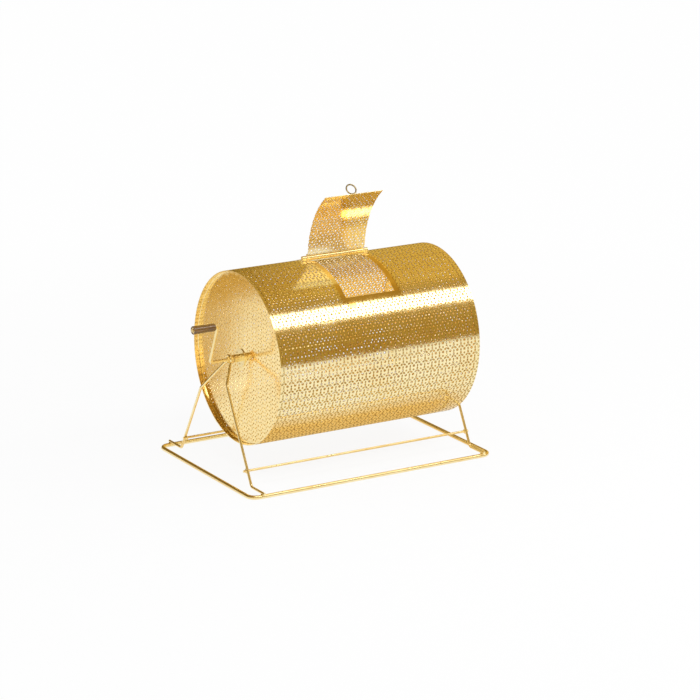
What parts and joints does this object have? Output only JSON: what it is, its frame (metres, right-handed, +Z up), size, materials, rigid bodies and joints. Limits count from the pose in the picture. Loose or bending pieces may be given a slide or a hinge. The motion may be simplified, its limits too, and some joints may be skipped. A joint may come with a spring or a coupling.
{
  "type": "raffle drum",
  "caption": "Hand-cranked raffle drum: perforated sheet cylinder with a curved hinged door, turning on a bent-wire stand with a rod base.",
  "frame": {"origin": "on the plane the drum stands on, at the middle of the base frame", "axes": "+X along the axle away from the crank, +Y to the back (the door's hinge side), +Z up"},
  "size_m": [0.5207, 0.332, 0.4828],
  "materials": {
    "perforated_brass": "polished perforated sheet",
    "plain_brass_strip": "polished plain strip",
    "brass_wire": "polished wire and rod",
    "turned_brass": "turned and polished",
    "varnished_wood": "dark stain under gloss varnish"
  },
  "bodies": {
    "stand": {"base_frame": "brass_wire", "left_stand": "brass_wire", "right_stand": "brass_wire", "front_tie_rod": "brass_wire", "rear_tie_rod": "brass_wire", "left_bush": "turned_brass", "right_bush": "turned_brass"},
    "drum": {"drum_shell": "perforated_brass", "left_end_disc": "perforated_brass", "right_end_disc": "perforated_brass", "left_hub": "turned_brass", "right_hub": "turned_brass", "hub_rivets": "turned_brass", "hub_set_screws": "turned_brass", "crank_rod": "brass_wire", "left_thrust_washer": "turned_brass", "right_thrust_washer": "turned_brass", "right_end_washer": "turned_brass", "axle_end_cap": "turned_brass", "left_strap": "plain_brass_strip", "right_strap": "plain_brass_strip", "front_strap": "plain_brass_strip", "hinge_leaf": "plain_brass_strip", "leaf_rivets": "turned_brass", "hinge_pin": "brass_wire", "catch_clip": "plain_brass_strip", "grip_inner_washer": "turned_brass", "grip_end_washer": "turned_brass"},
    "door": {"door_panel": "perforated_brass", "finger_loop": "brass_wire"},
    "grip": {"grip_sleeve": "varnished_wood"}
  },
  "joints": [
    {"name": "drum_spin", "type": "hinge", "parent": "stand", "child": "drum", "pos_m": [0.021, 0, 0.1965], "axis": [1, 0, 0], "continuous": true},
    {"name": "door_hinge", "type": "hinge", "parent": "drum", "child": "door", "pos_m": [0.0255, 0.01535, 0.35034], "axis": [-1, 0, 0], "range_deg": [-84.5, 120]},
    {"name": "grip_spin", "type": "hinge", "parent": "drum", "child": "grip", "pos_m": [-0.2555, -0.02652, 0.26558], "axis": [-1, 0, 0], "continuous": true}
  ]
}
